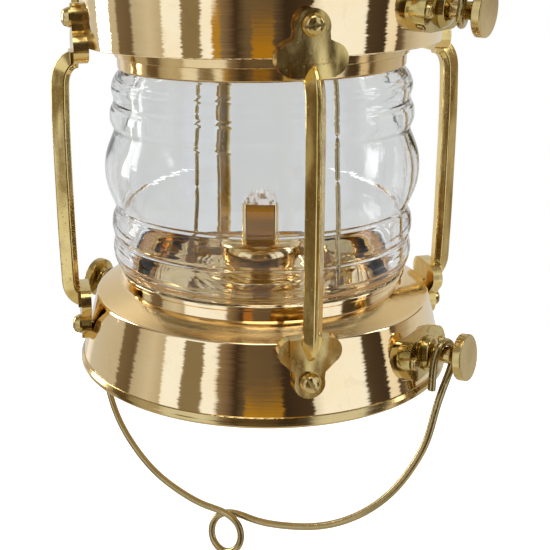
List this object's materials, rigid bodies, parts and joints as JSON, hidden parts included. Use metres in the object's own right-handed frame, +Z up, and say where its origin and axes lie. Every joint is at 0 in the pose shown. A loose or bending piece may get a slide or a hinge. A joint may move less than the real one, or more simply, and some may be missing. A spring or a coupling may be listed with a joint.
{
  "type": "ship lantern",
  "caption": "Brass ship's oil lantern with a ribbed glass lens, cast guard brackets, a wick lamp inside and wire bails above and below.",
  "frame": {"origin": "centre of the hanging eye at the top of the upper wire bail", "axes": "+Z up, +X along both trunnion axes through the right-hand knobs, -Y is the front"},
  "size_m": [0.2024, 0.1678, 0.3649],
  "materials": {
    "polished_brass": "mirror polished spun sheet",
    "lamp_brass": "dull warm sheet brass",
    "cast_brass": "rough polished sand casting",
    "turned_brass": "turned and polished",
    "brass_wire": "drawn wire",
    "glass": "clear pressed glass",
    "gasket": "matte",
    "wick": "woven cotton"
  },
  "bodies": {
    "top_bail": {"upper_bail": "brass_wire"},
    "lantern": {"foot_rim": "polished_brass", "lower_drum": "polished_brass", "floor_plate": "lamp_brass", "floor_screws": "turned_brass", "floor_lugs": "lamp_brass", "neck_ring": "polished_brass", "lower_gasket": "gasket", "lens": "glass", "upper_gasket": "gasket", "collar_lower": "polished_brass", "collar_upper": "polished_brass", "soffit_plate": "polished_brass", "upper_drum": "polished_brass", "top_rim": "polished_brass", "guard_bracket_front": "cast_brass", "guard_bracket_right": "cast_brass", "guard_bracket_rear": "cast_brass", "guard_bracket_left": "cast_brass", "lower_guard_screws": "turned_brass", "upper_guard_screws": "turned_brass", "lower_boss_right": "cast_brass", "lower_boss_left": "cast_brass", "upper_boss_right": "cast_brass", "upper_boss_left": "cast_brass", "lower_knob_right": "turned_brass", "lower_knob_left": "turned_brass", "upper_knob_right": "turned_brass", "upper_knob_left": "turned_brass", "lower_boss_rivets": "turned_brass", "upper_boss_rivets": "turned_brass", "lamp_cradle": "lamp_brass"},
    "lid": {"lid_cone": "polished_brass", "lid_skirt": "lamp_brass", "chimney": "polished_brass", "chimney_band": "polished_brass", "chimney_cap": "polished_brass", "cap_ring": "lamp_brass", "cap_finial": "turned_brass"},
    "oil_lamp": {"font_body": "lamp_brass", "font_top": "lamp_brass", "filler_neck": "turned_brass", "burner_collar": "turned_brass", "burner_dome": "lamp_brass", "wick_tube": "lamp_brass", "handle_ears": "turned_brass"},
    "filler_cap": {"filler_cap": "turned_brass"},
    "winder": {"wick_shaft": "turned_brass", "wick_knob": "turned_brass"},
    "wick_strip": {"wick": "wick"},
    "lamp_handle": {"lamp_handle": "brass_wire"},
    "lower_bail": {"lower_bail": "brass_wire"}
  },
  "joints": [
    {"name": "lantern_swing", "type": "hinge", "parent": "top_bail", "child": "lantern", "pos_m": [0, 0, -0.1042], "axis": [1, 0, 0], "range_deg": [-100, 100]},
    {"name": "lower_bail_swing", "type": "hinge", "parent": "lantern", "child": "lower_bail", "pos_m": [0, 0, -0.24507], "axis": [1, 0, 0], "range_deg": [-78, 112]},
    {"name": "lid_turn", "type": "hinge", "parent": "lantern", "child": "lid", "pos_m": [0, 0, -0.08622], "axis": [0, 0, 1], "range_deg": [0, 26]},
    {"name": "lamp_lift", "type": "slide", "parent": "lantern", "child": "oil_lamp", "axis": [0, 0, 1], "range_m": [0, 0.018]},
    {"name": "handle_tilt", "type": "hinge", "parent": "oil_lamp", "child": "lamp_handle", "pos_m": [0, 0, -0.21972], "axis": [0.9336, -0.3584, 0], "range_deg": [-10, 10]},
    {"name": "winder_turn", "type": "hinge", "parent": "oil_lamp", "child": "winder", "pos_m": [0.00268, -0.00446, -0.21572], "axis": [0.8572, 0.515, 0], "range_deg": [-47, 93]},
    {"name": "wick_rise", "type": "slide", "parent": "oil_lamp", "child": "wick_strip", "axis": [0, 0, 1], "range_m": [-0.003, 0.006]},
    {"name": "filler_cap_turn", "type": "hinge", "parent": "oil_lamp", "child": "filler_cap", "pos_m": [0.02777, 0.02368, -0.22022], "axis": [0, 0, 1], "range_deg": [0, 300]}
  ],
  "couplings": [
    {"joint": "winder_turn", "follows": "wick_rise", "rad_per_m": 256.41}
  ]
}
